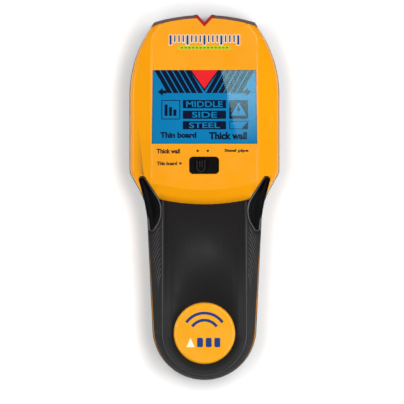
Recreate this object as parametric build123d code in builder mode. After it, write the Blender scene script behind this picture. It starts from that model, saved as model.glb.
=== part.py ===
from build123d import *
import os
from math import asin, cos, degrees, radians, sin, sqrt, tan

# Hand-held stud finder, lying on its back with the display up, in millimetres.
# X is across the tool, +Y points to the nose, +Z from the wall face to the display.

# ---- plan outline -------------------------------------------------------------
NOSE_Y = 97.4          # tip of the nose's wide arc
NOSE_R = 94.0
NOSE_CORNER_X = 26.8
NOSE_CUT = (28.3, 91.3)
HEAD_HALF = 40.0       # half width of the head
SIDE_Y = 55.0          # the head's sides are straight below this
SHOULDER_Y = 13.4
NECK_Y = -2.4
END_Y = -69.5          # centre of the handle's round end
END_R = 27.8
HANDLE_TAPER = 2.7     # degrees, each side
SHOULDER_R = 5.0
NECK_R = 34.0

# ---- heights ------------------------------------------------------------------
GLIDE_H = 0.8          # glide pads, z 0 is the wall
FLOOR = 2.2            # rear shell's floor
WALL = 2.2
REVEAL = 0.5           # rear shell's rim stands this far outside the front shell
PART_Z = 13.0          # parting plane of the two shells
LEDGE_Z = 24.0         # where the soft grip starts on the handle
DECK_Z = 27.5          # shell's deck under the grip
GRIP_EDGE_Z = 25.5
GRIP_Z = 30.5
FACE_Z = 34.0
FACE_WALL = 2.6
FACE_HALF = 28.3       # flat centre facet of the head
BEVEL_SLOPE = 0.512
RIM_R = 4.6            # rounding of the head's outer rim
FACET_R = 4.0          # rounding between the flat facet and its bevels

# ---- the face's step down to the grip, a shallow cone ----------------------------
STEP_R = 98.0
STEP_Y = 102.2
STEP_RUN = 7.6
STEP_DROP = 3.2

# ---- nose -----------------------------------------------------------------------
STRIP_T = 1.9
VEE_HALF_ANGLE = 42.0
VEE_TIP = 93.2
LENS_STROKE = 1.5

# ---- handle -----------------------------------------------------------------------
GRIP_INSET = 1.0       # at the round end's sides
GRIP_TAPER = 3.2       # degrees, so the grip reaches the shell's edge at its top
GRIP_SHIFT = 0.6       # moves its round end down to the shell's edge
DECK_INSET = 4.4
CREASE_HALF = 22.7
CREASE_END_Y = -72.0
CREASE_R = 0.4
DISH_HALF = 21.4       # the grip's top is dished inside its crease
DISH_DEPTH = 0.8
DISH_R = (DISH_HALF**2 + DISH_DEPTH**2) / (2 * DISH_DEPTH)
GRIP_TOP_Y = 8.0
BADGE_Y = -72.0
BADGE_R = 16.4
BADGE_SEAT_Z = 28.7
PAD_SEAT_Z = LEDGE_Z
PRESS = 0.6            # travel of the power button
PAD_GAP = 0.3

# ---- display ------------------------------------------------------------------------
WINDOW = ((-28.0, 28.8), (28.0, 28.8), (27.4, 67.8), (-27.4, 67.8))
WINDOW_T = 1.8
LCD_Y = 48.5
LCD_W, LCD_L, LCD_T = 56.6, 45.0, 2.0
LCD_Z = 30.1
LIGHT_W, LIGHT_L, LIGHT_T = 55.2, 38.0, 2.2
BOARD_Z, BOARD_T = 18.4, 1.6
BOARD_TOP = BOARD_Z + BOARD_T

# ---- mode switch ------------------------------------------------------------------------
SLOT_X, SLOT_Y = -0.2, 17.3
SLOT_W, SLOT_L = 15.8, 9.1
KNOB_X = -1.85         # second of four positions, 3.3 apart
KNOB_W, KNOB_L = 5.5, 6.5

# ---- power switch, battery and door ----------------------------------------------------
STEM = (-26.0, -3.0)
BATTERY_W, BATTERY_L, BATTERY_H = 26.5, 48.5, 17.5
BATTERY_Y = -81.0      # its closed end
BATTERY_Z = 4.2
BATTERY_TOP_Y = BATTERY_Y + BATTERY_L
DOOR_HALF = 16.7
DOOR_END = -87.9
HINGE_Y, HINGE_Z = -28.5, 2.3
KNUCKLE_R = 1.5
PIVOT_R = 1.0
OPENING_HALF = 17.0
OPENING_END = -88.3
OPENING_TOP = -26.7

# ---- fasteners ----------------------------------------------------------------------------
CASE_SCREWS = [(x * side, y) for x, y in ((29.0, 79.0), (33.5, 23.0), (21.0, -52.0)) for side in (-1, 1)]
BOSS_TOPS = (31.0, 31.0, 29.0, 29.0, 26.0, 26.0)
BOARD_SCREWS = [(x * 33.0, y) for x in (-1, 1) for y in (34.0, 66.0)]
SENSOR_SCREWS = [(x * 30.0, y) for x in (-1, 1) for y in (34.0, 70.0)]
SCREW_R = 1.2
SMALL_SCREW_R = 0.8

os.makedirs("parts", exist_ok=True)


def save(piece, name):
    """Label a finished piece and write it to its own file."""
    piece.part.label = name
    export_step(piece.part, f"parts/{name}.step")


def draw_outline(inset=0.0):
    """The whole tool's plan outline, or the same shape inset all round."""
    nose_r = NOSE_R - inset
    corner_x = NOSE_CORNER_X - inset / 2
    half_arc = degrees(asin(corner_x / nose_r))
    corner = (corner_x, NOSE_Y - NOSE_R + sqrt(nose_r**2 - corner_x**2))
    cut = (NOSE_CUT[0] - inset, NOSE_CUT[1])
    taper = radians(HANDLE_TAPER)
    end_r = END_R - inset
    end = (end_r * cos(taper), END_Y - end_r * sin(taper))
    neck = (end[0] + (NECK_Y - end[1]) * tan(taper), NECK_Y)
    half = HEAD_HALF - inset
    with BuildLine() as edge:
        CenterArc((0, NOSE_Y - NOSE_R), nose_r, 90 - half_arc, half_arc)
        Line(corner, cut)
        TangentArc((half, SIDE_Y), cut, tangent=(0, 1))
        FilletPolyline((half, SIDE_Y), (half, SHOULDER_Y), neck, end, radius=(SHOULDER_R, NECK_R))
        CenterArc((0, END_Y), end_r, -90, 90 - HANDLE_TAPER)
        mirror(about=Plane.YZ)
    make_face(edge.edges())


def draw_handle(inset, top_y, taper=HANDLE_TAPER, shift=0.0):
    """The handle's outline alone, moved inwards by inset and closed straight across at top_y."""
    lean = radians(taper)
    radius = END_R - inset
    centre_y = END_Y - shift
    end = (radius * cos(lean), centre_y - radius * sin(lean))
    top = (end[0] + (top_y - end[1]) * tan(lean), top_y)
    with BuildLine() as edge:
        Line((0, top_y), top)
        Line(top, end)
        CenterArc((0, centre_y), radius, -90, 90 - taper)
        mirror(about=Plane.YZ)
    make_face(edge.edges())


def draw_crease():
    """The crease round the grip's flat top."""
    end = (CREASE_HALF, CREASE_END_Y)
    top = (CREASE_HALF, GRIP_TOP_Y)
    with BuildLine() as edge:
        Line((0, GRIP_TOP_Y), top)
        Line(top, end)
        CenterArc((0, CREASE_END_Y), CREASE_HALF, -90, 90)
        mirror(about=Plane.YZ)
    make_face(edge.edges())


def draw_vee(tip_y, mode=Mode.ADD):
    """A triangle that opens to the nose from its tip."""
    depth = NOSE_Y + 5 - tip_y
    half = depth * tan(radians(VEE_HALF_ANGLE))
    with BuildLine() as edge:
        Polyline((0, tip_y), (half, tip_y + depth), (-half, tip_y + depth), close=True)
    make_face(edge.edges(), mode=mode)


def vee_offset(distance):
    """Tip of the notch's triangle moved outwards by distance, square to its sides."""
    return VEE_TIP - distance / sin(radians(VEE_HALF_ANGLE))


def draw_nose_cap(depth, mode):
    """Everything beyond the nose arc moved inwards by depth."""
    radius = NOSE_R - depth
    half = HEAD_HALF - 2
    rise = sqrt(radius**2 - half**2)
    base = NOSE_Y - NOSE_R
    with BuildLine() as edge:
        ThreePointArc((-half, base + rise), (0, base + radius), (half, base + rise))
        Polyline((half, base + rise), (half, NOSE_Y + 10), (-half, NOSE_Y + 10), (-half, base + rise))
    make_face(edge.edges(), mode=mode)


def draw_pad(side, gap=0.0):
    """Teardrop of a shoulder pad; side is -1 on the left and 1 on the right."""
    with BuildLine() as edge:
        ThreePointArc((side * 34.5, 8.8), (side * 31.6, -3.0), (side * 29.6, -15.8))
        ThreePointArc((side * 29.6, -15.8), (side * 28.2, -17.9), (side * 26.2, -16.5))
        ThreePointArc((side * 26.2, -16.5), (side * 22.8, -8.2), (side * 24.0, -1.2))
        ThreePointArc((side * 24.0, -1.2), (side * 27.6, 4.6), (side * 31.4, 10.4))
        ThreePointArc((side * 31.4, 10.4), (side * 33.2, 11.4), (side * 34.5, 8.8))
    make_face(edge.edges())
    if gap:
        offset(amount=gap)


def draw_section(top_z, half, bottom_z):
    """Cross-section of the head in XZ: a flat top with a bevel falling away on both sides."""
    rim = HEAD_HALF + 4
    low = top_z - (rim - half) * BEVEL_SLOPE
    with BuildLine() as edge:
        Polyline((-rim, bottom_z), (-rim, low), (-half, top_z), (half, top_z), (rim, low),
                 (rim, bottom_z), close=True)
    make_face(edge.edges())


def draw_step(top_z, inset, foot_z):
    """Radial section of what is cut away behind the head's face, for turning about the step's axis."""
    near = STEP_R - inset
    far = near + STEP_RUN
    with BuildLine() as edge:
        Polyline((near - 2 * STEP_RUN, top_z + 2 * STEP_DROP), (far, top_z - STEP_DROP), (far, foot_z),
                 (far + 120, foot_z), (far + 120, top_z + 2 * STEP_DROP), close=True)
    make_face(edge.edges())


STEP_PLANE = Plane(origin=(0, STEP_Y, 0), x_dir=(0, -1, 0), z_dir=(-1, 0, 0))
STEP_AXIS = Axis((0, STEP_Y, 0), (0, 0, 1))


# ---- hollow of the front shell ---------------------------------------------------
with BuildPart() as head_hollow:
    with BuildSketch(Plane.XY.offset(PART_Z - 1)):
        draw_outline()
        offset(amount=-WALL)
        draw_nose_cap(STRIP_T + WALL, Mode.SUBTRACT)
    extrude(amount=FACE_Z - FACE_WALL - PART_Z + 1)
    with BuildSketch(Plane.XZ):
        draw_section(FACE_Z - FACE_WALL, FACE_HALF - 0.8, 0)
    extrude(amount=120, both=True, mode=Mode.INTERSECT)
    with BuildSketch(STEP_PLANE):
        draw_step(FACE_Z - FACE_WALL, WALL, LEDGE_Z - WALL)
    revolve(axis=STEP_AXIS, mode=Mode.SUBTRACT)
    with BuildSketch(Plane.XY.offset(LEDGE_Z - WALL)):
        draw_handle(DECK_INSET + WALL, 2)
    extrude(amount=DECK_Z - LEDGE_Z)
    for pad_side in (-1, 1):
        with BuildSketch(Plane.XY.offset(LEDGE_Z - WALL)):
            draw_pad(pad_side, gap=2.0)
        extrude(amount=20, mode=Mode.SUBTRACT)

# ---- front shell --------------------------------------------------------------------
with BuildPart() as front_housing:
    with BuildSketch(Plane.XY.offset(PART_Z)):
        draw_outline(REVEAL)
        draw_nose_cap(STRIP_T, Mode.SUBTRACT)
    extrude(amount=FACE_Z - PART_Z)
    with BuildSketch(Plane.XZ):
        draw_section(FACE_Z, FACE_HALF, 0)
    extrude(amount=120, both=True, mode=Mode.INTERSECT)
    with BuildSketch(STEP_PLANE):
        draw_step(FACE_Z, 0, LEDGE_Z)
    revolve(axis=STEP_AXIS, mode=Mode.SUBTRACT)
    rim = front_housing.edges().filter_by(lambda e: (e @ 0.5).Z > 26 and abs((e @ 0.5).X) > 34)
    fillet(rim, RIM_R)
    facet = front_housing.edges().filter_by(Axis.Y).filter_by(lambda e: (e @ 0.5).Z > FACE_Z - 0.1)
    fillet(facet, FACET_R)
    with BuildSketch(Plane.XY.offset(LEDGE_Z - 1)):
        draw_handle(DECK_INSET, 0)
    extrude(amount=DECK_Z - LEDGE_Z + 1)
    add(head_hollow.part, mode=Mode.SUBTRACT)
    # screw bosses, board posts and two ribs over the battery
    for boss, top_z in zip(CASE_SCREWS, BOSS_TOPS):
        with BuildSketch(Plane.XY.offset(PART_Z)):
            with Locations(boss):
                Circle(3.0)
        extrude(amount=top_z - PART_Z)
    with BuildSketch(Plane.XY.offset(BOARD_TOP)):
        with Locations(BOARD_SCREWS):
            Circle(2.4)
    extrude(amount=FACE_Z - 5 - BOARD_TOP)
    with BuildSketch(Plane.XY.offset(BATTERY_Z + BATTERY_H + 0.3)):
        with Locations((-8, BATTERY_Y + BATTERY_L / 2), (8, BATTERY_Y + BATTERY_L / 2)):
            Rectangle(1.4, 36)
    extrude(amount=DECK_Z - 1 - BATTERY_Z - BATTERY_H - 0.3)
    # pilot holes
    with BuildSketch(Plane.XY.offset(PART_Z)):
        with Locations(CASE_SCREWS):
            Circle(SCREW_R)
    extrude(amount=10, mode=Mode.SUBTRACT)
    with BuildSketch(Plane.XY.offset(BOARD_TOP)):
        with Locations(BOARD_SCREWS):
            Circle(SMALL_SCREW_R)
    extrude(amount=6, mode=Mode.SUBTRACT)
    # notch and light pipe
    with BuildSketch(Plane.XY.offset(PART_Z)):
        draw_vee(vee_offset(LENS_STROKE))
    extrude(amount=30, mode=Mode.SUBTRACT)
    # display opening, over a pocket for the panel
    with BuildSketch(Plane.XY.offset(FACE_Z - FACE_WALL - 1)):
        Polygon(*WINDOW, align=None)
        offset(amount=0.1)
    extrude(amount=5, mode=Mode.SUBTRACT)
    with BuildSketch(Plane.XY.offset(FACE_Z - FACE_WALL - 1.5)):
        with Locations((0, LCD_Y)):
            Rectangle(LCD_W + 0.3, LCD_L + 0.3)
    extrude(amount=FACE_WALL + 1.5 - WINDOW_T, mode=Mode.SUBTRACT)
    # mode switch slot
    with BuildSketch(Plane.XY.offset(FACE_Z - FACE_WALL - 1)):
        with Locations((SLOT_X, SLOT_Y)):
            RectangleRounded(SLOT_W, SLOT_L, 2)
    extrude(amount=5, mode=Mode.SUBTRACT)
    slot_rim = front_housing.edges().filter_by(
        lambda e: (e @ 0.5).Z > FACE_Z - 0.01
        and abs((e @ 0.5).X - SLOT_X) < SLOT_W / 2 + 0.1
        and abs((e @ 0.5).Y - SLOT_Y) < SLOT_L / 2 + 0.1
    )
    fillet(slot_rim, 0.4)
    # seats of the two shoulder pads, and the hole for the button's stem
    for pad_side in (-1, 1):
        with BuildSketch(Plane.XY.offset(PAD_SEAT_Z)):
            draw_pad(pad_side, gap=PAD_GAP)
        extrude(amount=20, mode=Mode.SUBTRACT)
    with BuildSketch(Plane.XY.offset(LEDGE_Z - WALL - 1)):
        with Locations(STEM):
            Circle(1.6)
    extrude(amount=5, mode=Mode.SUBTRACT)
save(front_housing, "front_housing")

# ---- rear shell -----------------------------------------------------------------------
with BuildPart() as rear_housing:
    with BuildSketch(Plane.XY.offset(GLIDE_H)):
        draw_outline()
    extrude(amount=PART_Z - GLIDE_H)
    fillet(rear_housing.faces().sort_by(Axis.Z)[0].edges(), 2.0)
    with BuildSketch(Plane.XY.offset(GLIDE_H + FLOOR)):
        draw_outline()
        offset(amount=-WALL)
        draw_vee(vee_offset(WALL), Mode.SUBTRACT)
    extrude(amount=20, mode=Mode.SUBTRACT)
    with BuildSketch(Plane.XY.offset(GLIDE_H + 1)):
        with Locations(CASE_SCREWS):
            Circle(3.6)
    extrude(amount=PART_Z - GLIDE_H - 1)
    with BuildSketch(Plane.XY.offset(GLIDE_H + 1)):
        with Locations(SENSOR_SCREWS):
            Circle(2.2)
    extrude(amount=FLOOR - 1 + 0.6)
    # battery bay walls and the blocks that hold the door's pivots
    with BuildSketch(Plane.XY.offset(GLIDE_H + 1)):
        with Locations((-18.2, -57.3), (18.2, -57.3)):
            Rectangle(1.5, 53)
    extrude(amount=PART_Z - GLIDE_H - 1)
    with BuildSketch(Plane.XY.offset(5)):
        with Locations((0, -83.2)):
            Rectangle(37.9, 1.4)
    extrude(amount=PART_Z - 5)
    with BuildSketch(Plane.XY.offset(GLIDE_H)):
        with Locations((-18.9, HINGE_Y), (18.9, HINGE_Y)):
            Rectangle(3.8, 5)
    extrude(amount=4)
    # notch, door opening, screw holes and pivot sockets
    with BuildSketch():
        draw_vee(VEE_TIP)
    extrude(amount=20, mode=Mode.SUBTRACT)
    with BuildSketch():
        with Locations((0, (OPENING_END + OPENING_TOP) / 2)):
            Rectangle(2 * OPENING_HALF, OPENING_TOP - OPENING_END)
    extrude(amount=GLIDE_H + FLOOR, mode=Mode.SUBTRACT)
    with BuildSketch():
        with Locations(CASE_SCREWS):
            Circle(1.4)
    extrude(amount=20, mode=Mode.SUBTRACT)
    with BuildSketch():
        with Locations(CASE_SCREWS):
            Circle(2.6)
    extrude(amount=5, mode=Mode.SUBTRACT)
    with BuildSketch(Plane.XY.offset(1.8)):
        with Locations(SENSOR_SCREWS):
            Circle(SMALL_SCREW_R)
    extrude(amount=5, mode=Mode.SUBTRACT)
    with BuildSketch(Plane.YZ):
        with Locations((HINGE_Y, HINGE_Z)):
            Circle(PIVOT_R + 0.06)
    extrude(amount=OPENING_HALF + 2, both=True, mode=Mode.SUBTRACT)
save(rear_housing, "rear_housing")

# ---- strips and light pipe at the nose ---------------------------------------------------
with BuildPart() as nose_strips:
    with BuildSketch(Plane.XY.offset(PART_Z)):
        draw_outline(REVEAL / 2)
        draw_nose_cap(STRIP_T, Mode.INTERSECT)
        draw_vee(vee_offset(LENS_STROKE), Mode.SUBTRACT)
    extrude(amount=FACE_Z - 0.9 - PART_Z)
save(nose_strips, "nose_strips")

with BuildPart() as nose_lens:
    with BuildSketch(Plane.XY.offset(PART_Z)):
        draw_outline()
        draw_vee(vee_offset(LENS_STROKE), Mode.INTERSECT)
        draw_vee(VEE_TIP, Mode.SUBTRACT)
    extrude(amount=FACE_Z + 0.2 - PART_Z)
save(nose_lens, "nose_lens")

LED_Z = 24.0
with BuildPart() as pointer_led:
    with BuildSketch(Plane.XZ.offset(-84.5)):
        with Locations((0, LED_Z)):
            Circle(1.5)
    extrude(amount=-4)
    with Locations((0, 88.5, LED_Z)):
        Sphere(1.5)
    with Locations((-1, 78.9, LED_Z), (1, 78.9, LED_Z)):
        Box(0.5, 12.2, 0.5)
    with Locations((-1, 73.05, BOARD_TOP), (1, 73.05, BOARD_TOP)):
        Box(0.5, 0.5, LED_Z - BOARD_TOP + 0.25, align=(Align.CENTER, Align.CENTER, Align.MIN))
save(pointer_led, "pointer_led")

# ---- soft grip, shoulder pads and badge ----------------------------------------------------
with BuildPart() as grip_overmould:
    with BuildSketch(Plane.XY.offset(GRIP_EDGE_Z)):
        draw_handle(GRIP_INSET, GRIP_TOP_Y, GRIP_TAPER, GRIP_SHIFT)
    with BuildSketch(Plane.XY.offset(GRIP_Z)):
        draw_crease()
    loft(ruled=True)
    with BuildSketch(Plane.XY.offset(LEDGE_Z)):
        draw_handle(GRIP_INSET, GRIP_TOP_Y, GRIP_TAPER, GRIP_SHIFT)
    extrude(amount=GRIP_EDGE_Z - LEDGE_Z)
    fillet(grip_overmould.edges().group_by(Axis.Z)[-1].filter_by(lambda e: (e @ 0.5).Y < 0), CREASE_R)
    with Locations((0, CREASE_END_Y, GRIP_Z - DISH_DEPTH + DISH_R)):
        Sphere(DISH_R, mode=Mode.SUBTRACT)
        Cylinder(DISH_R, 100, rotation=(90, 0, 0), align=(Align.CENTER, Align.CENTER, Align.MAX), mode=Mode.SUBTRACT)
    with BuildSketch(Plane.XY.offset(LEDGE_Z)):
        draw_handle(DECK_INSET, 0)
    extrude(amount=DECK_Z - LEDGE_Z, mode=Mode.SUBTRACT)
    with BuildSketch(Plane.XY.offset(LEDGE_Z)):
        with Locations((0, STEP_Y)):
            Circle(STEP_R + STEP_RUN + 0.05)
    extrude(amount=20, mode=Mode.SUBTRACT)
    for pad_side in (-1, 1):
        with BuildSketch(Plane.XY.offset(LEDGE_Z)):
            draw_pad(pad_side, gap=PAD_GAP)
        extrude(amount=20, mode=Mode.SUBTRACT)
    with BuildSketch(Plane.XY.offset(BADGE_SEAT_Z)):
        with Locations((0, BADGE_Y)):
            Circle(BADGE_R + 0.6)
    extrude(amount=20, mode=Mode.SUBTRACT)
save(grip_overmould, "grip_overmould")

PAD_SLOPE_X, PAD_SLOPE_Y = 0.55, 0.18
PAD_HIGH = (23.5, -8.0, 30.2)
for pad_side, pad_name, lift in ((-1, "power_button", PRESS + 0.2), (1, "finger_pad", 0.0)):
    with BuildPart() as pad:
        with BuildSketch(Plane.XY.offset(PAD_SEAT_Z + lift)):
            draw_pad(pad_side)
        extrude(amount=12)
        top = Plane(
            origin=(pad_side * PAD_HIGH[0], PAD_HIGH[1], PAD_HIGH[2]),
            z_dir=(pad_side * PAD_SLOPE_X, -PAD_SLOPE_Y, 1),
        )
        split(bisect_by=top, keep=Keep.BOTTOM)
        fillet(pad.faces().sort_by(Axis.Z)[-1].edges(), 0.2)
        if lift:
            with BuildSketch(Plane.XY.offset(PAD_SEAT_Z + lift)):
                with Locations(STEM):
                    Circle(1.2)
            extrude(amount=22.3 - PAD_SEAT_Z - lift)
    save(pad, pad_name)

with BuildPart() as badge_disc:
    with BuildSketch(Plane.XY.offset(BADGE_SEAT_Z)):
        with Locations((0, BADGE_Y)):
            Circle(BADGE_R)
    extrude(amount=GRIP_Z + 0.4 - BADGE_SEAT_Z)
    fillet(badge_disc.faces().sort_by(Axis.Z)[-1].edges(), 1.3)
save(badge_disc, "badge_disc")

# ---- display stack -------------------------------------------------------------------------
with BuildPart() as display_window:
    with BuildSketch(Plane.XY.offset(FACE_Z - WINDOW_T)):
        Polygon(*WINDOW, align=None)
    extrude(amount=WINDOW_T)
save(display_window, "display_window")

with BuildPart() as lcd_panel:
    with Locations((0, LCD_Y, LCD_Z)):
        Box(LCD_W, LCD_L, LCD_T, align=(Align.CENTER, Align.CENTER, Align.MIN))
save(lcd_panel, "lcd_panel")

with BuildPart() as backlight_panel:
    with Locations((0, LCD_Y, LCD_Z - LIGHT_T)):
        Box(LIGHT_W, LIGHT_L, LIGHT_T, align=(Align.CENTER, Align.CENTER, Align.MIN))
save(backlight_panel, "backlight_panel")

with BuildPart() as backlight_leds:
    with Locations((-12, LCD_Y + 20, LCD_Z - 1.9), (12, LCD_Y + 20, LCD_Z - 1.9)):
        Box(3, 1.4, 1.6, align=(Align.CENTER, Align.CENTER, Align.MIN))
save(backlight_leds, "backlight_leds")

with BuildPart() as lcd_frame:
    with BuildSketch(Plane.XY.offset(BOARD_TOP)):
        with Locations((0, LCD_Y)):
            Rectangle(58.6, 47.6)
            Rectangle(LIGHT_W + 0.2, LCD_L + 0.2, mode=Mode.SUBTRACT)
    extrude(amount=LCD_Z - BOARD_TOP)
    with BuildSketch(Plane.XY.offset(LCD_Z - LIGHT_T - 1)):
        with Locations((-27.3, LCD_Y), (27.3, LCD_Y)):
            Rectangle(3, LIGHT_L)
    extrude(amount=1)
save(lcd_frame, "lcd_frame")

with BuildPart() as lcd_pins:
    for row in (-1, 1):
        with Locations((0, LCD_Y + row * 21.7, BOARD_TOP)):
            with GridLocations(2.54, 1, 18, 1):
                Box(0.5, 0.3, LCD_Z - BOARD_TOP, align=(Align.CENTER, Align.CENTER, Align.MIN))
save(lcd_pins, "lcd_pins")

# ---- boards ----------------------------------------------------------------------------------
with BuildPart() as main_board:
    with BuildSketch(Plane.XY.offset(BOARD_Z)):
        with BuildLine():
            Polyline((-28.2, -9), (28.2, -9), (28.2, 29), (35, 29), (35, 68), (29, 74), (-29, 74),
                     (-35, 68), (-35, 29), (-28.2, 29), close=True)
        make_face()
        with Locations(BOARD_SCREWS):
            Circle(SMALL_SCREW_R + 0.2, mode=Mode.SUBTRACT)
    extrude(amount=BOARD_T)
save(main_board, "main_board")

CHIPS = ((0, 52, 10, 10, 1.6), (19, 52, 5, 4, 1.4), (-19, 56, 5, 6, 1.4), (8, 0, 4, 4, 1.2), (-4, 20, 8, 3, 1.0))
with BuildPart() as board_chips:
    for chip_x, chip_y, chip_w, chip_l, chip_h in CHIPS:
        with Locations((chip_x, chip_y, BOARD_Z)):
            Box(chip_w, chip_l, chip_h, align=(Align.CENTER, Align.CENTER, Align.MAX))
save(board_chips, "board_chips")

with BuildPart() as buzzer:
    with Locations((17, 10, BOARD_Z)):
        Cylinder(7, 6, align=(Align.CENTER, Align.CENTER, Align.MAX))
    fillet(buzzer.faces().sort_by(Axis.Z)[0].edges(), 0.6)
save(buzzer, "buzzer")

with BuildPart() as sensor_board:
    with BuildSketch(Plane.XY.offset(3.6)):
        with BuildLine():
            Polyline((-34, 28), (34, 28), (34, 69), (28, 75), (-28, 75), (-34, 69), close=True)
        make_face()
        with Locations(SENSOR_SCREWS):
            Circle(SMALL_SCREW_R + 0.2, mode=Mode.SUBTRACT)
    extrude(amount=1.6)
save(sensor_board, "sensor_board")

with BuildPart() as sensor_plates:
    for plate_x in (-19, 0, 19):
        with Locations((plate_x, 51, 3.35)):
            Box(15, 34, 0.25, align=(Align.CENTER, Align.CENTER, Align.MIN))
save(sensor_plates, "sensor_plates")

with BuildPart() as metal_coil:
    with BuildSketch(Plane.XY.offset(5.2)):
        with Locations((0, 52)):
            Circle(15)
            Circle(12, mode=Mode.SUBTRACT)
    extrude(amount=2.2)
save(metal_coil, "metal_coil")

with BuildPart() as board_link:
    with Locations((0, 31.5, 5.2)):
        Box(18, 2.5, BOARD_Z - 5.2, align=(Align.CENTER, Align.CENTER, Align.MIN))
save(board_link, "board_link")

# ---- mode switch --------------------------------------------------------------------------------
PLATE_Z = 30.2
with BuildPart() as mode_knob:
    with Locations((KNOB_X, SLOT_Y, PLATE_Z)):
        Box(26.4, 12.0, 1.0, align=(Align.CENTER, Align.CENTER, Align.MIN))
    with BuildSketch(Plane.XY.offset(PLATE_Z)):
        with Locations((KNOB_X, SLOT_Y)):
            RectangleRounded(KNOB_W, KNOB_L, 1.2)
    extrude(amount=4.6)
    fillet(mode_knob.faces().sort_by(Axis.Z)[-1].edges(), 0.5)
    with BuildSketch(Plane.XY.offset(PLATE_Z + 3.2)):
        with Locations((KNOB_X, SLOT_Y + 1.4)):
            RectangleRounded(2.9, 6.0, 1.2)
    extrude(amount=3, mode=Mode.SUBTRACT)
    with Locations((KNOB_X, SLOT_Y, PLATE_Z)):
        Box(2.4, 1.6, 0.6, align=(Align.CENTER, Align.CENTER, Align.MIN), mode=Mode.SUBTRACT)
save(mode_knob, "mode_knob")

with BuildPart() as switch_actuator:
    with Locations((KNOB_X, SLOT_Y, 23.2)):
        Box(2.4, 1.6, PLATE_Z + 0.6 - 23.2, align=(Align.CENTER, Align.CENTER, Align.MIN))
save(switch_actuator, "switch_actuator")

with BuildPart() as slide_switch:
    with Locations((SLOT_X, SLOT_Y, BOARD_TOP)):
        Box(20, 6.6, 6, align=(Align.CENTER, Align.CENTER, Align.MIN))
    with Locations((SLOT_X, SLOT_Y, 23)):
        Box(13.6, 2.1, 6, align=(Align.CENTER, Align.CENTER, Align.MIN), mode=Mode.SUBTRACT)
save(slide_switch, "slide_switch")

# ---- power switch ----------------------------------------------------------------------------------
with BuildPart() as power_switch:
    with Locations((STEM[0], STEM[1], BOARD_TOP)):
        Box(4.4, 4.4, 1.5, align=(Align.CENTER, Align.CENTER, Align.MIN))
    with Locations((STEM[0], STEM[1], BOARD_TOP + 0.7)):
        Cylinder(1.0, 2, align=(Align.CENTER, Align.CENTER, Align.MIN), mode=Mode.SUBTRACT)
save(power_switch, "power_switch")

with BuildPart() as switch_plunger:
    with Locations((STEM[0], STEM[1], BOARD_TOP + 1.4)):
        Cylinder(0.9, 0.9, align=(Align.CENTER, Align.CENTER, Align.MIN))
save(switch_plunger, "switch_plunger")

# ---- battery ------------------------------------------------------------------------------------------
TERMINAL_Z = BATTERY_Z + BATTERY_H / 2
with BuildPart() as battery:
    with Locations((0, BATTERY_Y + BATTERY_L / 2, BATTERY_Z)):
        Box(BATTERY_W, BATTERY_L, BATTERY_H, align=(Align.CENTER, Align.CENTER, Align.MIN))
    fillet(battery.edges().filter_by(Axis.Y), 1.6)
save(battery, "battery")

TERMINALS = [(-6.35, TERMINAL_Z), (6.35, TERMINAL_Z)]
with BuildPart() as battery_terminals:
    with BuildSketch(Plane.XZ.offset(-BATTERY_TOP_Y)):
        with Locations(TERMINALS):
            Circle(2.9)
    extrude(amount=-2.8)
save(battery_terminals, "battery_terminals")

with BuildPart() as battery_snap:
    with BuildSketch(Plane.XZ.offset(-BATTERY_TOP_Y - 0.3)):
        with Locations((0, TERMINAL_Z)):
            RectangleRounded(25, 12, 3)
        with Locations(TERMINALS):
            Circle(3.0, mode=Mode.SUBTRACT)
    extrude(amount=-2.6)
    with BuildSketch(Plane.XZ.offset(-BATTERY_TOP_Y - 2.9)):
        with Locations((0, TERMINAL_Z)):
            RectangleRounded(25, 12, 3)
    extrude(amount=-1.4)
save(battery_snap, "battery_snap")

LEAD_R = 0.7
SNAP_END = BATTERY_TOP_Y + 4.3
LEAD_ROUTE = ((SNAP_END, TERMINAL_Z), (-17.0, TERMINAL_Z), (-6.0, 13.6), (-6.0, BOARD_Z))
LEAD_RADII = (9.0, 3.0)
with BuildPart() as battery_leads:
    for lead_x in (-4, 4):
        with BuildLine():
            lead = FilletPolyline(*[(lead_x, y, z) for y, z in LEAD_ROUTE], radius=LEAD_RADII)
        with BuildSketch(Plane.XZ.offset(-SNAP_END)):
            with Locations((lead_x, TERMINAL_Z)):
                Circle(LEAD_R)
        sweep(path=lead)
save(battery_leads, "battery_leads")

# ---- battery door ---------------------------------------------------------------------------------------
with BuildPart() as battery_door:
    with BuildSketch(Plane.XY.offset(GLIDE_H)):
        with Locations((0, (DOOR_END + HINGE_Y) / 2)):
            Rectangle(2 * DOOR_HALF, HINGE_Y - DOOR_END)
        fillet(vertices().group_by(Axis.Y)[0], 2.0)
    extrude(amount=2.0)
    with BuildSketch(Plane.YZ):
        with Locations((HINGE_Y, HINGE_Z)):
            Circle(KNUCKLE_R)
    extrude(amount=DOOR_HALF, both=True)
    with BuildSketch(Plane.YZ):
        with Locations((HINGE_Y, HINGE_Z)):
            Circle(PIVOT_R)
    extrude(amount=DOOR_HALF + 2, both=True)
    with Locations((0, DOOR_END + 1.5, GLIDE_H + 1)):
        Box(10, 1.2, 6.4, align=(Align.CENTER, Align.CENTER, Align.MIN))
    with Locations((0, DOOR_END + 8, GLIDE_H)):
        with GridLocations(1, 2.2, 1, 5):
            Box(14, 1.0, 0.5, align=(Align.CENTER, Align.CENTER, Align.MIN), mode=Mode.SUBTRACT)
save(battery_door, "battery_door")

with BuildPart() as door_foam:
    with Locations((0, BATTERY_Y + 21, GLIDE_H + 2.0)):
        Box(20, 34, 1.2, align=(Align.CENTER, Align.CENTER, Align.MIN))
save(door_foam, "door_foam")

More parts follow.
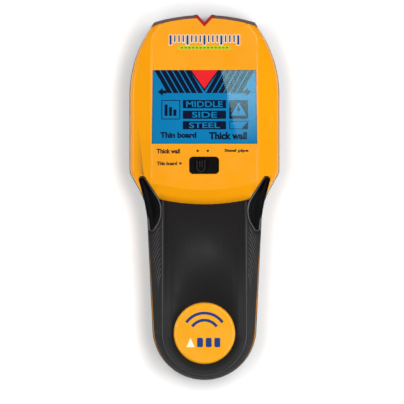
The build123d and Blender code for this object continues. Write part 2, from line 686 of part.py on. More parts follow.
# ---- fasteners, glide pads and label -----------------------------------------------------------------------
with BuildPart() as housing_screws:
    with BuildSketch(Plane.XY.offset(3.0)):
        with Locations(CASE_SCREWS):
            Circle(2.4)
    extrude(amount=2.0)
    with BuildSketch(Plane.XY.offset(5.0)):
        with Locations(CASE_SCREWS):
            Circle(SCREW_R)
    extrude(amount=15.0)
    with BuildSketch(Plane.XY.offset(3.0)):
        with Locations(CASE_SCREWS):
            RegularPolygon(1.1, 6)
    extrude(amount=1.0, mode=Mode.SUBTRACT)
save(housing_screws, "housing_screws")

with BuildPart() as board_screws:
    with BuildSketch(Plane.XY.offset(BOARD_Z)):
        with Locations(BOARD_SCREWS):
            Circle(1.8)
    extrude(amount=-1.2)
    with BuildSketch(Plane.XY.offset(BOARD_Z)):
        with Locations(BOARD_SCREWS):
            Circle(SMALL_SCREW_R)
    extrude(amount=7.2)
save(board_screws, "board_screws")

with BuildPart() as sensor_screws:
    with BuildSketch(Plane.XY.offset(5.2)):
        with Locations(SENSOR_SCREWS):
            Circle(1.8)
    extrude(amount=1.2)
    with BuildSketch(Plane.XY.offset(5.2)):
        with Locations(SENSOR_SCREWS):
            Circle(SMALL_SCREW_R)
    extrude(amount=-3.2)
save(sensor_screws, "sensor_screws")

with BuildPart() as glide_pads:
    with BuildSketch():
        with Locations((0, 86.5)):
            SlotOverall(30, 5)
        with Locations((-34.5, 48), (34.5, 48)):
            SlotOverall(30, 4.5, rotation=90)
        with Locations((0, -92)):
            SlotOverall(14, 3.2)
    extrude(amount=GLIDE_H)
save(glide_pads, "glide_pads")

with BuildPart() as rear_label:
    with BuildSketch(Plane.XY.offset(GLIDE_H - 0.25)):
        with Locations((0, -6)):
            RectangleRounded(40, 24, 2)
    extrude(amount=0.25)
save(rear_label, "rear_label")
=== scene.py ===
"""Looks of the hand-held stud finder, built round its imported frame.

Everything is in metres in the CAD's own frame: +Y towards the notched nose, +Z out of the wall face.
Drawings are written in millimetres and scaled by MM.
"""
import math

import bmesh
import bpy
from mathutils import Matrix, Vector
from mathutils.bvhtree import BVHTree
from mathutils.geometry import delaunay_2d_cdt


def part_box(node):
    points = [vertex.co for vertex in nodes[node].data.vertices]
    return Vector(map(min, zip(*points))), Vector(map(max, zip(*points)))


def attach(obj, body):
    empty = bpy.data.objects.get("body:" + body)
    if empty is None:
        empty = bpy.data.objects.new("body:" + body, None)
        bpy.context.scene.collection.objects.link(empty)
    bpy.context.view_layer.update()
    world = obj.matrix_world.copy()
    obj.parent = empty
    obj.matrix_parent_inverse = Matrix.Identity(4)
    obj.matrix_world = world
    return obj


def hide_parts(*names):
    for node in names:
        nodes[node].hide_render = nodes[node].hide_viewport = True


MM = 0.001

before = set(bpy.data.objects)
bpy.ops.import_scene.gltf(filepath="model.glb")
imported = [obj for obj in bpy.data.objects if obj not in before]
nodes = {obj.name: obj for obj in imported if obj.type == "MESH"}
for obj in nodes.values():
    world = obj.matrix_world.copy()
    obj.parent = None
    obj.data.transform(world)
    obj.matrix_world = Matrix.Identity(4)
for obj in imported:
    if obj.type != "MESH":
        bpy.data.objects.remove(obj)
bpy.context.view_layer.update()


def top_of(node):
    """Height of a node's highest point, in millimetres."""
    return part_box(node)[1].z / MM


FACE_Z = top_of("front_housing")
LCD_Z = top_of("lcd_panel")
BADGE_Z = top_of("badge_disc")
KNOB_Z = top_of("mode_knob")
KNOB_Y = 17.3
BADGE_Y = -72.0


# ---- materials -------------------------------------------------------------------
def new_material(name, colour, roughness, **values):
    """A Principled material; values are its other sockets, by name with underscores."""
    mat = bpy.data.materials.new(name)
    mat.use_nodes = True
    shader = mat.node_tree.nodes["Principled BSDF"]
    shader.inputs["Base Color"].default_value = colour
    shader.inputs["Roughness"].default_value = roughness
    for key, value in values.items():
        shader.inputs[key.replace("_", " ")].default_value = value
    return mat


def add(mat, kind, **settings):
    """A new node of a material, with its properties or input values set."""
    node = mat.node_tree.nodes.new(kind)
    for key, value in settings.items():
        if hasattr(node, key):
            setattr(node, key, value)
        else:
            node.inputs[key.replace("_", " ")].default_value = value
    return node


def link(mat, source, out, target, into):
    mat.node_tree.links.new(source.outputs[out], target.inputs[into])


def noise(mat, scale, detail=3.0, roughness=0.55):
    """Noise in the object's own coordinates; scale is in cells per metre."""
    place = add(mat, "ShaderNodeTexCoord")
    node = add(mat, "ShaderNodeTexNoise", Scale=scale, Detail=detail, Roughness=roughness)
    link(mat, place, "Object", node, "Vector")
    return node


def vary_colour(mat, scale, dark, light, low=0.35, high=0.65):
    """Mix two close colours over the surface with soft noise."""
    source = noise(mat, scale, detail=4.0)
    ramp = add(mat, "ShaderNodeValToRGB")
    ramp.color_ramp.elements[0].position = low
    ramp.color_ramp.elements[1].position = high
    ramp.color_ramp.elements[0].color = dark
    ramp.color_ramp.elements[1].color = light
    link(mat, source, "Fac", ramp, "Fac")
    link(mat, ramp, "Color", mat.node_tree.nodes["Principled BSDF"], "Base Color")


def vary_roughness(mat, scale, low, high):
    """Spread the roughness between two values."""
    source = noise(mat, scale, detail=5.0)
    spread = add(mat, "ShaderNodeMapRange")
    spread.inputs["From Min"].default_value = 0.3
    spread.inputs["From Max"].default_value = 0.7
    spread.inputs["To Min"].default_value = low
    spread.inputs["To Max"].default_value = high
    link(mat, source, "Fac", spread, "Value")
    link(mat, spread, "Result", mat.node_tree.nodes["Principled BSDF"], "Roughness")


def add_bump(mat, layers):
    """Stack bump layers, each (cells per metre, height in metres, strength)."""
    below = None
    for scale, height, strength in layers:
        source = noise(mat, scale, detail=2.0)
        bump = add(mat, "ShaderNodeBump", Strength=strength, Distance=height)
        link(mat, source, "Fac", bump, "Height")
        if below:
            link(mat, below, "Normal", bump, "Normal")
        below = bump
    link(mat, below, "Normal", mat.node_tree.nodes["Principled BSDF"], "Normal")


def scaled(colour, factor):
    return tuple(c * factor for c in colour[:3]) + (1,)


def moulded(name, colour, roughness, grain=2600, depth=0.00002, spread=0.06, **values):
    """Injection-moulded plastic: slight colour drift, uneven gloss and a fine moulded grain."""
    mat = new_material(name, colour, roughness, **values)
    vary_colour(mat, 26, scaled(colour, 0.96), scaled(colour, 1.03))
    vary_roughness(mat, 130, roughness - spread, roughness + spread)
    add_bump(mat, [(grain, depth, 0.35), (grain / 22, depth * 3, 0.08)])
    return mat


YELLOW = (0.745, 0.284, 0.0030, 1)
yellow_shell = moulded("yellow_shell", YELLOW, 0.22, grain=3000, depth=0.000008, spread=0.05,
                       Specular_IOR_Level=0.13)
badge_yellow = moulded("badge_yellow", (0.75, 0.325, 0.006, 1), 0.22, grain=3000, depth=0.000004,
                       Specular_IOR_Level=0.2, Coat_Weight=0.08, Coat_Roughness=0.08)
black_shell = moulded("black_shell", (0.016, 0.016, 0.018, 1), 0.46, grain=2400, depth=0.00004)
soft_grip = moulded("soft_grip", (0.0150, 0.0145, 0.0155, 1), 0.52, grain=3400, depth=0.00005, spread=0.07,
                    Specular_IOR_Level=0.10)
soft_pad = moulded("soft_pad", (0.0030, 0.0030, 0.0036, 1), 0.38, grain=3600, depth=0.00003,
                   Specular_IOR_Level=0.02)
maroon_strip = moulded("maroon_strip", (0.075, 0.032, 0.030, 1), 0.34, depth=0.000006,
                       Specular_IOR_Level=0.2)
red_lens = new_material("red_lens", (0.46, 0.006, 0.010, 1), 0.12, Transmission_Weight=0.25, IOR=1.49,
                        Coat_Weight=0.5)
window_clear = new_material("window_clear", (1, 1, 1, 1), 0.01, Alpha=0.05, Metallic=1.0)
knob_black = moulded("knob_black", (0.0016, 0.0012, 0.0011, 1), 0.30, grain=3000, Specular_IOR_Level=0.03)
# Grey for the knob's U-shaped ridge lines: a painted highlight on the ridges.
knob_ridge_highlight = new_material("knob_ridge_highlight", (0.022, 0.019, 0.017, 1), 0.4, Specular_IOR_Level=0.1)
# Lighter grey for the pad rims, grip ribs and crease bead: a painted highlight along these ridges.
painted_highlight_grey = moulded("painted_highlight_grey", (0.050, 0.049, 0.051, 1), 0.42, grain=3600, Specular_IOR_Level=0.4)
steel = moulded("steel", (0.52, 0.52, 0.53, 1), 0.30, grain=1500, depth=0.00001, Metallic=1.0)
tinned = moulded("tinned", (0.72, 0.72, 0.70, 1), 0.22, depth=0.00001, Metallic=1.0)
copper = moulded("copper", (0.72, 0.30, 0.16, 1), 0.32, depth=0.00001, Metallic=1.0)
board_green = moulded("board_green", (0.010, 0.10, 0.035, 1), 0.32, depth=0.00001, Coat_Weight=0.4)
chip_black = moulded("chip_black", (0.012, 0.012, 0.012, 1), 0.5)
milky = moulded("milky_plastic", (0.82, 0.86, 0.90, 1), 0.4)
felt = moulded("felt", (0.02, 0.02, 0.022, 1), 0.9, grain=1800, depth=0.0002, Sheen_Weight=0.5)
foam = moulded("foam_grey", (0.06, 0.06, 0.065, 1), 0.9, grain=900, depth=0.0004)
label_grey = moulded("label_grey", (0.42, 0.43, 0.44, 1), 0.38, depth=0.000005)
battery_case = moulded("battery_case", (0.05, 0.07, 0.12, 1), 0.35, Metallic=0.3)
lead_red = moulded("lead_sleeve", (0.30, 0.01, 0.01, 1), 0.45)
ink_navy = new_material("ink_navy", (0.004, 0.030, 0.15, 1), 0.5, Specular_IOR_Level=0.1)
ink_black = new_material("ink_black", (0.018, 0.005, 0.003, 1), 0.5, Specular_IOR_Level=0.1)
ink_white = new_material("ink_white", (0.80, 0.72, 0.55, 1), 0.5, Specular_IOR_Level=0.1)
ink_green = new_material("ink_green", (0.03, 0.09, 0.006, 1), 0.5, Specular_IOR_Level=0.1)
ink_lime = new_material("ink_lime", (0.42, 0.46, 0.010, 1), 0.5, Specular_IOR_Level=0.1)
lcd_blue = new_material("lcd_blue", (0.0003, 0.186, 0.420, 1), 0.5, Specular_IOR_Level=0.0)
lcd_dark = new_material("lcd_dark", (0.0002, 0.0050, 0.027, 1), 0.5, Specular_IOR_Level=0.0)
lcd_red = new_material("lcd_red", (0.75, 0.016, 0.024, 1), 0.5, Specular_IOR_Level=0.0)

NODE_MATERIALS = {
    "front_housing": yellow_shell, "rear_housing": black_shell, "battery_door": black_shell,
    "grip_overmould": soft_grip, "finger_pad": soft_pad, "power_button": soft_pad,
    "nose_strips": maroon_strip, "nose_lens": red_lens, "display_window": window_clear,
    "lcd_panel": lcd_blue, "lcd_frame": chip_black, "lcd_pins": tinned, "backlight_panel": milky,
    "backlight_leds": milky, "main_board": board_green, "sensor_board": board_green,
    "board_chips": chip_black, "board_screws": steel, "housing_screws": steel, "sensor_screws": steel,
    "slide_switch": steel, "switch_actuator": chip_black, "mode_knob": knob_black,
    "power_switch": chip_black, "switch_plunger": chip_black, "buzzer": chip_black,
    "sensor_plates": copper, "metal_coil": copper, "board_link": chip_black, "battery": battery_case,
    "battery_terminals": tinned, "battery_snap": chip_black, "battery_leads": lead_red,
    "door_foam": foam, "glide_pads": felt, "rear_label": label_grey,
    "badge_disc": badge_yellow, "pointer_led": red_lens,
}
SMOOTH_ANGLE = math.radians(24)


def weld(obj, distance=0.000002):
    """Join the seams between a CAD mesh's faces for shading alone, by a modifier."""
    join = obj.modifiers.new("weld", "WELD")
    join.merge_threshold = distance


def shade(obj):
    """Smooth shading that keeps real edges."""
    bpy.context.view_layer.objects.active = obj
    bpy.ops.object.select_all(action="DESELECT")
    obj.select_set(True)
    bpy.ops.object.shade_auto_smooth(angle=SMOOTH_ANGLE)


for node_name, node_material in NODE_MATERIALS.items():
    node_object = nodes[node_name]
    node_object.data.materials.clear()
    node_object.data.materials.append(node_material)
    weld(node_object)
    shade(node_object)


# ---- camera, light and floor ---------------------------------------------------------
WORLD_LEVEL = 0.06
GLARE_LEVEL = 2.5
PICTURE_WIDTH = 0.21545     # metres across the picture at the object
AIM = Vector((-0.0013, -0.0022, 0.020))
LENS = 600.0
SENSOR = 36.0


def make_camera():
    data = bpy.data.cameras.new("camera")
    data.lens = LENS
    data.sensor_width = SENSOR
    camera = bpy.data.objects.new("camera", data)
    camera.location = AIM + Vector((0, 0, PICTURE_WIDTH * LENS / SENSOR))
    bpy.context.scene.collection.objects.link(camera)
    bpy.context.scene.camera = camera


def area_light(name, place, target, size, power):
    """A softbox at a place, facing a target."""
    data = bpy.data.lights.new(name, "AREA")
    data.shape = "RECTANGLE"
    data.size, data.size_y = size
    data.energy = power
    light = bpy.data.objects.new(name, data)
    light.location = place
    light.rotation_euler = (Vector(target) - Vector(place)).to_track_quat("-Z", "Y").to_euler()
    bpy.context.scene.collection.objects.link(light)


def light_ring():
    """Four softboxes round the camera's line of sight, with flat tops facing the gap between them."""
    distance, rise = 1.35, math.radians(70)
    for name, azimuth, power in (("nose_right", 37, 7.2), ("nose_left", 143, 5.6), ("handle_left", 206, 4.1),
                                 ("handle_right", -26, 5.7)):
        turn = math.radians(azimuth)
        reach = math.cos(rise)
        place = distance * Vector((reach * math.cos(turn), reach * math.sin(turn), math.sin(rise)))
        area_light(name, place, (0, 0, 0), (0.5, 0.5), power)


def make_glare_card():
    """A faint bright card beside the camera that shows only as a sheen in the display window."""
    height = PICTURE_WIDTH * LENS / SENSOR
    fade_y = 53
    edge = ((8.7, 68.5), (12.1, 54.9), (15.1, 42.1), (17.8, 28.0))
    far_x = 32.0
    window_points = list(edge) + [(far_x, y) for _, y in reversed(edge)]
    verts = [(2 * x * MM - AIM.x, 2 * y * MM - AIM.y, height + AIM.z) for x, y in window_points]
    last = len(verts) - 1
    mesh = bpy.data.meshes.new("glare_card")
    mesh.from_pydata(verts, [], [(i, i + 1, last - i - 1, last - i) for i in range(len(edge) - 1)])
    mat = new_material("glare", (0, 0, 0, 1), 1.0, Emission_Color=(0.58, 0.95, 1.0, 1),
                       Specular_IOR_Level=0.0)
    place = add(mat, "ShaderNodeTexCoord")
    split = add(mat, "ShaderNodeSeparateXYZ")
    fade = add(mat, "ShaderNodeMapRange")
    fade.inputs["From Min"].default_value = verts[3][1]
    fade.inputs["From Max"].default_value = 2 * fade_y * MM - AIM.y
    fade.inputs["To Max"].default_value = GLARE_LEVEL
    link(mat, place, "Object", split, "Vector")
    link(mat, split, "Y", fade, "Value")
    link(mat, fade, "Result", mat.node_tree.nodes["Principled BSDF"], "Emission Strength")
    mesh.materials.append(mat)
    card = bpy.data.objects.new("glare_card", mesh)
    bpy.context.scene.collection.objects.link(card)
    card.visible_camera = card.visible_diffuse = card.visible_shadow = False


def make_floor():
    size = 3.0
    mesh = bpy.data.meshes.new("floor")
    corners = [(-size, -size, 0), (size, -size, 0), (size, size, 0), (-size, size, 0)]
    mesh.from_pydata(corners, [], [(0, 1, 2, 3)])
    floor = bpy.data.objects.new("floor", mesh)
    mesh.materials.append(new_material("floor", (0.93, 0.93, 0.93, 1), 0.8, Specular_IOR_Level=0.1))
    bpy.context.scene.collection.objects.link(floor)


def make_world():
    world = bpy.data.worlds.new("studio")
    world.use_nodes = True
    world.node_tree.nodes["Background"].inputs["Color"].default_value = (1, 1, 1, 1)
    world.node_tree.nodes["Background"].inputs["Strength"].default_value = WORLD_LEVEL
    bpy.context.scene.world = world


make_camera()
make_world()
make_floor()
light_ring()
area_light("strip_head", (-0.42, 0.03, 0.10), (0, 0.03, 0.02), (0.16, 0.05), 0.45)
area_light("strip_handle", (0.36, -0.10, 0.11), (0, -0.05, 0.02), (0.16, 0.06), 0.55)
make_glare_card()
bpy.context.scene.view_settings.view_transform = "Standard"


# ---- mesh helpers ------------------------------------------------------------------------
def finish_piece(name, mesh, material, body="housing"):
    """Put a mesh in the scene as a piece that rides on a body."""
    obj = bpy.data.objects.new(name, mesh)
    bpy.context.scene.collection.objects.link(obj)
    mesh.materials.clear()
    mesh.materials.append(material)
    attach(obj, body)
    return obj


def mesh_from(name, verts, faces):
    mesh = bpy.data.meshes.new(name)
    mesh.from_pydata([Vector(v) * MM for v in verts], [], faces)
    mesh.update()
    return mesh


def twice_area(outline):
    """Twice the area of a closed outline, positive if it runs anticlockwise."""
    return sum(a[0] * b[1] - b[0] * a[1] for a, b in zip(outline, outline[1:] + outline[:1]))


def printed(name, shapes, z, material, height=0.05, body="housing"):
    """Ink or display segments: each shape is a list of (x, y) corners, raised from z by height."""
    verts, faces = [], []
    for shape in shapes:
        ring = shape if twice_area(shape) > 0 else shape[::-1]
        start, count = len(verts), len(ring)
        verts += [(x, y, z) for x, y in ring] + [(x, y, z + height) for x, y in ring]
        faces.append([start + i for i in range(count)][::-1])
        faces.append([start + count + i for i in range(count)])
        faces += [
            [start + i, start + (i + 1) % count, start + count + (i + 1) % count, start + count + i]
            for i in range(count)
        ]
    return finish_piece(name, mesh_from(name, verts, faces), material, body)


def rectangle(x0, y0, x1, y1):
    return [(x0, y0), (x1, y0), (x1, y1), (x0, y1)]


def rounded(x0, y0, x1, y1, radius, steps=5):
    """Rectangle with round corners."""
    corners = ((x1 - radius, y1 - radius, 0), (x0 + radius, y1 - radius, 90),
               (x0 + radius, y0 + radius, 180), (x1 - radius, y0 + radius, 270))
    return [
        (x + radius * math.cos(math.radians(start + 90 * i / steps)),
         y + radius * math.sin(math.radians(start + 90 * i / steps)))
        for x, y, start in corners for i in range(steps + 1)
    ]


def disc(x, y, radius, steps=24):
    return [(x + radius * math.cos(2 * math.pi * i / steps), y + radius * math.sin(2 * math.pi * i / steps))
            for i in range(steps)]


def arc_band(x, y, inner, outer, start, end, steps=24):
    """Part of a ring between two radii, angles in degrees."""
    angles = [math.radians(start + (end - start) * i / steps) for i in range(steps + 1)]
    return ([(x + outer * math.cos(a), y + outer * math.sin(a)) for a in angles]
            + [(x + inner * math.cos(a), y + inner * math.sin(a)) for a in reversed(angles)])


def frame_bars(x0, y0, x1, y1, width):
    """The four sides of a thin rectangular outline."""
    low, high = y0 + width, y1 - width
    return [rectangle(x0, y0, x1, low), rectangle(x0, high, x1, y1),
            rectangle(x0, low, x0 + width, high), rectangle(x1 - width, low, x1, high)]


WEIGHT = 0.012      # extra boldness of all lettering, in letter heights


def words(name, text, centre, height, material, z, width=None, body="housing", bold=0.0,
          depth=0.05):
    """Raised lettering, centred, with capitals of the given height and if asked an exact width."""
    curve = bpy.data.curves.new(name, "FONT")
    curve.body = text
    curve.align_x, curve.align_y = "CENTER", "CENTER"
    curve.size = 1.0
    curve.offset = bold + WEIGHT
    curve.extrude = 0.02
    curve.resolution_u = 4
    holder = bpy.data.objects.new(name + "_curve", curve)
    bpy.context.scene.collection.objects.link(holder)
    bpy.context.view_layer.update()
    mesh = bpy.data.meshes.new_from_object(holder.evaluated_get(bpy.context.evaluated_depsgraph_get()))
    bpy.data.objects.remove(holder)
    xs = [v.co.x for v in mesh.vertices]
    ys = [v.co.y for v in mesh.vertices]
    zs = [v.co.z for v in mesh.vertices]
    tall = height * MM / (max(ys) - min(ys))
    wide = width * MM / (max(xs) - min(xs)) if width else tall
    for v in mesh.vertices:
        v.co.x = centre[0] * MM + (v.co.x - (max(xs) + min(xs)) / 2) * wide
        v.co.y = centre[1] * MM + (v.co.y - (max(ys) + min(ys)) / 2) * tall
        v.co.z = (z + (depth if v.co.z > (max(zs) + min(zs)) / 2 else 0.0)) * MM
    mesh.name = name
    return finish_piece(name, mesh, material, body)


# ---- display artwork -----------------------------------------------------------------------
SEGMENT_Z = LCD_Z + 0.005
LAYER = 0.025
SCREEN_TOP = 67.8


def make_display():
    """Segments of the liquid-crystal display: scan bars, pointer, words and warning icons."""
    bar_top, bar_low = SCREEN_TOP + 0.6, 55.7
    shift = 7.3
    bars = []
    for side in (-1, 1):
        for i in range(6):
            outer = 26.9 - 3.25 * i
            top = (side * outer, side * (outer - 2.6))
            low = (side * (outer - shift), side * (outer - 2.6 - shift))
            bars.append([(top[0], bar_top), (top[1], bar_top), (low[1], bar_low), (low[0], bar_low)])
    pointer_back = [(-8.3, bar_top), (8.3, bar_top), (0.0, bar_low + 0.9)]
    arrows = []
    for side in (-1, 1):
        arrows.append([(side * 24.8, 56.3), (side * 22.2, 58.4), (side * 22.2, 57.1), (side * 19.9, 57.1),
                       (side * 19.9, 55.5), (side * 22.2, 55.5), (side * 22.2, 54.2)])
    signal = frame_bars(-22.9, 41.7, -12.9, 52.0, 0.42)
    signal += [rectangle(-21.2 + 2.35 * i, 43.6, -19.6 + 2.35 * i, 49.6 - 1.3 * i) for i in range(3)]
    boxes = [rounded(-11.5, y, 11.5, y + 4.4, 0.4) for y in (47.6, 42.0, 36.4)]
    hazard = [rectangle(13.2, 42.0, 23.2, 52.0)]
    cell = frame_bars(13.2, 36.5, 23.2, 40.9, 0.35)
    cell.append([(19.6, 36.8), (22.9, 36.8), (22.9, 40.4)])
    printed("display_segments", bars + arrows + signal + boxes + hazard + cell, SEGMENT_Z, lcd_dark,
            height=LAYER)
    printed("display_pointer_edge", [pointer_back], SEGMENT_Z, lcd_dark, height=LAYER)
    printed("display_pointer", [[(-7.4, bar_top), (7.4, bar_top), (0.0, 58.0)]], SEGMENT_Z + LAYER, lcd_red,
            height=LAYER)
    printed("display_hazard", [[(14.1, 43.7), (22.3, 43.7), (18.2, 50.9)]], SEGMENT_Z + LAYER, lcd_blue,
            height=LAYER)
    bolt = [(18.6, 49.4), (17.1, 46.6), (18.1, 46.6), (17.6, 44.5), (19.3, 47.4), (18.3, 47.4)]
    printed("display_bolt", [bolt], SEGMENT_Z + 2 * LAYER, lcd_dark, height=LAYER)
    for text, y, width in (("MIDDLE", 49.8, 19.4), ("SIDE", 44.2, 13.2), ("STEEL", 38.6, 16.4)):
        words("display_word_" + text.lower(), text, (0, y), 3.1, lcd_blue, SEGMENT_Z + LAYER, width=width,
              bold=0.008, depth=LAYER)
    modes = (("Thin board", (-13.9, 33.4), 3.1, 19.2), ("Thick wall", (12.5, 33.0), 4.0, 20.2))
    for text, place, height, width in modes:
        words("display_" + text.lower().replace(" ", "_"), text, place, height, lcd_dark, SEGMENT_Z,
              width=width, bold=0.035, depth=LAYER)


# ---- printing on the shell ---------------------------------------------------------------------
def make_face_print():
    """Generic centring scale at the nose and mode names beside the switch."""
    z = FACE_Z + 0.001
    ticks, backs = [], []
    for i in range(-8, 9):
        long_tick = i % 4 == 0
        half, low = (0.62, 81.3) if long_tick else (0.42, 82.7)
        ticks.append(rectangle(2.25 * i - half, low, 2.25 * i + half, 86.4))
        backs.append(rectangle(2.25 * i - half - 0.3, low - 0.3, 2.25 * i + half + 0.3, 86.7))
    printed("centre_scale_edge", backs, z, ink_white, height=0.02)
    printed("centre_scale", ticks, z + 0.02, ink_navy, height=0.02)
    bar = rounded(-14.0, 78.7, 14.0, 80.7, 0.5)
    printed("centre_bar", [bar], z, ink_lime, height=0.02)
    dashes = [rectangle(2.0 * i - 0.55, 79.4, 2.0 * i + 0.55, 80.0) for i in range(-6, 7)]
    printed("centre_dashes", dashes, z + 0.02, ink_green, height=0.02)
    labels = (("Thick wall", (-19.2, 24.8), 2.5, 12.4), ("Steel pipe", (17.0, 25.0), 2.0, 12.8),
              ("Thin board", (-19.9, 18.3), 2.0, 10.8))
    for text, centre, height, width in labels:
        words("label_" + text.lower().replace(" ", "_"), text, centre, height, ink_black, z, width=width,
              bold=0.035)
    dots = [disc(x, y, 0.65) for x, y in ((-3.6, 25.0), (1.8, 25.0), (-12.8, 18.3))]
    printed("mode_dots", dots, z, ink_black, height=0.04)


def make_knob_ridge():
    """U-shaped raised lines round the thumb rest of the mode knob, coloured lighter than the knob as a
    painted highlight on the ridges.
    """
    x, y = (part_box("mode_knob")[0].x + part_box("mode_knob")[1].x) / 2 / MM, KNOB_Y
    half, low, top, line = 2.3, y - 1.2, y + 2.75, 0.28
    band = arc_band(x, low, half - line, half, 180, 360)
    arms = [rectangle(x - half, low, x - half + line, top), rectangle(x + half - line, low, x + half, top)]
    inner = [rectangle(x + offset, low + 0.2, x + offset + line, top - 0.3) for offset in (-0.75, 0.5)]
    printed("knob_ridge", [band] + arms + inner, KNOB_Z - 0.02, knob_ridge_highlight, height=0.12, body="knob")


def make_badge_print():
    """Generic scan waves, bars and a pointer on the round badge."""
    z = BADGE_Z + 0.001
    y = BADGE_Y
    waves = [arc_band(0.0, y - 1.0, r, r + 1.5, 35, 145) for r in (7.2, 11.0)]
    printed("badge_waves", waves, z, ink_navy, height=0.04)
    bars = [rounded(-3.9 + 4.6 * i, y - 7.4, -0.8 + 4.6 * i, y - 2.4, 0.8) for i in range(3)]
    printed("badge_bars", bars, z, ink_navy, height=0.04)
    printed("badge_mark", [[(-9.6, y - 7.4), (-5.2, y - 7.4), (-7.4, y - 2.4)]], z, ink_white, height=0.04)


# ---- soft pads and the grip's moulded lines ----------------------------------------------------------
PAD_ARCS = (
    ((34.5, 8.8), (31.6, -3.0), (29.6, -15.8)),
    ((29.6, -15.8), (28.2, -17.9), (26.2, -16.5)),
    ((26.2, -16.5), (22.8, -8.2), (24.0, -1.2)),
    ((24.0, -1.2), (27.6, 4.6), (31.4, 10.4)),
    ((31.4, 10.4), (33.2, 11.4), (34.5, 8.8)),
)


def arc_points(start, middle, end, step):
    """Points along the circle arc through three points, without the last one."""
    (ax, ay), (bx, by), (cx, cy) = start, middle, end
    d = 2 * (ax * (by - cy) + bx * (cy - ay) + cx * (ay - by))
    a2, b2, c2 = ax * ax + ay * ay, bx * bx + by * by, cx * cx + cy * cy
    ux = (a2 * (by - cy) + b2 * (cy - ay) + c2 * (ay - by)) / d
    uy = (a2 * (cx - bx) + b2 * (ax - cx) + c2 * (bx - ax)) / d
    radius = math.hypot(ax - ux, ay - uy)
    first = math.atan2(ay - uy, ax - ux)
    sweep = math.atan2(cy - uy, cx - ux) - first
    turn = math.atan2(by - uy, bx - ux) - first
    sweep, turn = sweep % (2 * math.pi), turn % (2 * math.pi)
    if turn > sweep:
        sweep -= 2 * math.pi
    count = max(3, int(abs(sweep) * radius / step))
    angles = [first + sweep * i / count for i in range(count)]
    return [(ux + radius * math.cos(a), uy + radius * math.sin(a)) for a in angles]


PAD_RING = [p for arc in PAD_ARCS for p in arc_points(*arc, step=0.45)]


def edge_distance(x, y, outline):
    """Distance from a point to a closed polyline."""
    best = 1e9
    for (ax, ay), (bx, by) in zip(outline, outline[1:] + outline[:1]):
        dx, dy = bx - ax, by - ay
        t = max(0.0, min(1.0, ((x - ax) * dx + (y - ay) * dy) / (dx * dx + dy * dy)))
        best = min(best, math.hypot(x - ax - t * dx, y - ay - t * dy))
    return best


def smooth(value):
    value = max(0.0, min(1.0, value))
    return value * value * (3 - 2 * value)


PAD_HIGH = (23.5, -8.0, 30.2)      # a point of the plane that the pads' tops follow
PAD_SLOPE = (-0.55, 0.18)          # and its rise along x and y
PAD_SPREAD = 0.2                   # closes most of the gap round the CAD pad
PAD_RIM = 0.75                     # width of the finely meshed rim
PAD_CROWN = 0.15                   # how far the rim stands above the plane
HOLLOW_DEPTH, HOLLOW_START, HOLLOW_RUN = 1.25, 0.8, 2.6
STEM = (26.0, -3.0, 1.2)           # x and y of the button stem's axis, and its radius
STEM_FOOT = 22.3


def pad_height(x, y, distance):
    """Height of a pad's dished top: rounded edge, narrow raised rim and a hollow for the finger."""
    plane = PAD_HIGH[2] + PAD_SLOPE[0] * (x - PAD_HIGH[0]) + PAD_SLOPE[1] * (y - PAD_HIGH[1])
    rounding = 0.5
    drop = rounding - math.sqrt(max(0.0, rounding**2 - (rounding - min(distance, rounding)) ** 2))
    return plane + PAD_CROWN - drop - HOLLOW_DEPTH * smooth((distance - HOLLOW_START) / HOLLOW_RUN)


def grown(outline, amount):
    """A closed clockwise or anticlockwise outline moved outwards by amount."""
    turn = math.copysign(1, twice_area(outline))
    moved = []
    for i, (x, y) in enumerate(outline):
        ax, ay = outline[i - 1]
        bx, by = outline[(i + 1) % len(outline)]
        size = math.hypot(bx - ax, by - ay)
        moved.append((x + turn * amount * (by - ay) / size, y - turn * amount * (bx - ax) / size))
    return moved


def make_pad(name, side, body, node, bottom):
    """One teardrop pad with a dished top and a thin ridge along its rim, made pale as a painted highlight."""
    outline = grown(PAD_RING, PAD_SPREAD)
    count = len(outline)
    points = [Vector(p) for inset in (0, 0.1, 0.25, 0.45, PAD_RIM) for p in grown(outline, -inset)]
    pitch = 0.4
    xs = [p[0] for p in outline]
    ys = [p[1] for p in outline]
    for i in range(int((max(ys) - min(ys)) / pitch) + 1):
        y = min(ys) + pitch * i
        for j in range(int((max(xs) - min(xs)) / pitch) + 1):
            x = min(xs) + pitch * (j + 0.5 * (i % 2))
            if inside(x, y, outline) and edge_distance(x, y, outline) > PAD_RIM + pitch / 2:
                points.append(Vector((x, y)))
    flat, _, triangles, *_ = delaunay_2d_cdt(points, [], [list(range(count))], 1, 1e-6)
    verts = [(p.x, p.y, pad_height(p.x, p.y, edge_distance(p.x, p.y, outline))) for p in flat]
    faces = [list(t) for t in triangles]
    ring = [min(range(len(flat)), key=lambda k: (flat[k] - Vector(p)).length) for p in outline]
    base = len(verts)
    verts += [(p[0], p[1], bottom) for p in outline]
    faces += [[ring[i], ring[(i + 1) % count], base + (i + 1) % count, base + i] for i in range(count)]
    faces.append([base + i for i in range(count)])
    if node == "power_button":
        stem = disc(*STEM, steps=16)
        foot = len(verts)
        verts += [(x, y, z) for z in (STEM_FOOT, bottom) for x, y in stem]
        faces += [[foot + i, foot + (i + 1) % 16, foot + 16 + (i + 1) % 16, foot + 16 + i] for i in range(16)]
        faces += [[foot + i for i in range(16)], [foot + 16 + i for i in range(16)]]
    mesh = mesh_from(name, [(side * x, y, z) for x, y, z in verts], faces)
    recalculate(mesh)
    obj = finish_piece(name, mesh, soft_pad, body)
    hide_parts(node)
    shade(obj)

    def top(x, y):
        return pad_height(abs(x), y, edge_distance(abs(x), y, outline))

    # The pale ridge runs only along the inner and lower part of the rim, where the painted highlight goes.
    rim = [(side * x, y) for x, y in grown(outline, -0.5)[int(count * 0.3):-2]]
    ridge([rim], name + "_rim", 0.75, 0.16, top, painted_highlight_grey, body=body)


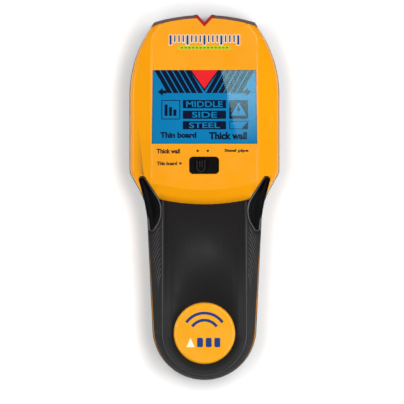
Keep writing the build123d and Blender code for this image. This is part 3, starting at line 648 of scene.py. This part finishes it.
def inside(x, y, outline):
    """Whether a point lies inside a closed polyline."""
    hit = False
    for (ax, ay), (bx, by) in zip(outline, outline[1:] + outline[:1]):
        if (ay > y) != (by > y) and x < ax + (y - ay) * (bx - ax) / (by - ay):
            hit = not hit
    return hit


def recalculate(mesh):
    """Turn all faces outwards."""
    edit = bmesh.new()
    edit.from_mesh(mesh)
    bmesh.ops.recalc_face_normals(edit, faces=edit.faces)
    edit.to_mesh(mesh)
    edit.free()


def surface_of(node):
    """Function that gives a node's highest surface point over (x, y) in millimetres, or None."""
    tree = BVHTree.FromObject(nodes[node], bpy.context.evaluated_depsgraph_get())

    def height(x, y):
        hit = tree.ray_cast(Vector((x * MM, y * MM, 0.1)), Vector((0, 0, -1)))[0]
        return hit.z / MM if hit else None
    return height


def ridge(paths, name, width, height, surface, material, fade=4, body="housing"):
    """Thin rounded ridges that follow a surface along their paths and fade out over their last steps."""
    verts, faces = [], []
    profile = ((-0.5, -0.4), (-0.32, 0.55), (0.0, 1.0), (0.32, 0.55), (0.5, -0.4))
    for path in paths:
        rows = []
        for i, (x, y) in enumerate(path):
            ax, ay = path[max(0, i - 1)]
            bx, by = path[min(len(path) - 1, i + 1)]
            size = math.hypot(bx - ax, by - ay)
            nx, ny = -(by - ay) / size, (bx - ax) / size
            taper = 0.2 + 0.8 * min(1.0, i / 2, (len(path) - 1 - i) / fade)
            row = []
            for across, up in profile:
                px, py = x + nx * across * width * taper, y + ny * across * width * taper
                z = surface(px, py)
                if z is None:
                    break
                row.append((px, py, z + up * height * taper))
            if len(row) == len(profile):
                rows.append(row)
        if len(rows) < 3:
            continue
        start, span = len(verts), len(profile)
        verts += [v for row in rows for v in row]
        for i in range(len(rows) - 1):
            for j in range(span):
                a, b = start + i * span + j, start + i * span + (j + 1) % span
                faces.append([a, b, b + span, a + span])
        faces += [[start + j for j in range(span)], [start + (len(rows) - 1) * span + j for j in range(span)]]
    mesh = mesh_from(name, verts, faces)
    recalculate(mesh)
    obj = finish_piece(name, mesh, material, body)
    shade(obj)


CREASE_X = 22.35                   # the bead beside the grip's flat top


def make_grip_ribs():
    """Fan of fine moulded ribs on both bevels of the grip, sweeping down and outwards from the crease, and a
    bead along the crease; both are coloured lighter than the grip as a painted highlight.
    """
    surface = surface_of("grip_overmould")
    paths = []
    for side in (-1, 1):
        for i in range(12):
            top = -9.5 - 2.75 * i
            reach = 4.4 if i < 7 else 4.4 - 0.5 * (i - 6)
            path = []
            for j in range(13):
                t = j / 12
                x, y = 23.0 + reach * t**0.75, top - 9.0 * t
                if inside(x, y, PAD_RING) or edge_distance(x, y, PAD_RING) < 0.7:
                    path = []
                else:
                    path.append((side * x, y))
            if len(path) > 4:
                paths.append(path)
    # Ribs in the lighter grey: painted highlight lines.
    ridge(paths, "grip_ribs", 0.55, 0.4, surface, painted_highlight_grey, fade=9)
    ends = [math.radians(3 * i) for i in range(-30, 31)]
    crease = [(-CREASE_X, -9.0 - 2.0 * i) for i in range(32)]
    crease += [(CREASE_X * math.sin(a), BADGE_Y - CREASE_X * math.cos(a)) for a in ends]
    crease += [(CREASE_X, -9.0 - 2.0 * i) for i in range(31, -1, -1)]
    # Bead along the crease in the lighter grey: a painted highlight line.
    ridge([crease], "grip_crease", 0.5, 0.2, surface, painted_highlight_grey)


make_display()
make_face_print()
make_badge_print()
make_knob_ridge()
make_pad("button_pad", -1, "button", "power_button", 24.8)
make_pad("rest_pad", 1, "housing", "finger_pad", 24.0)
make_grip_ribs()
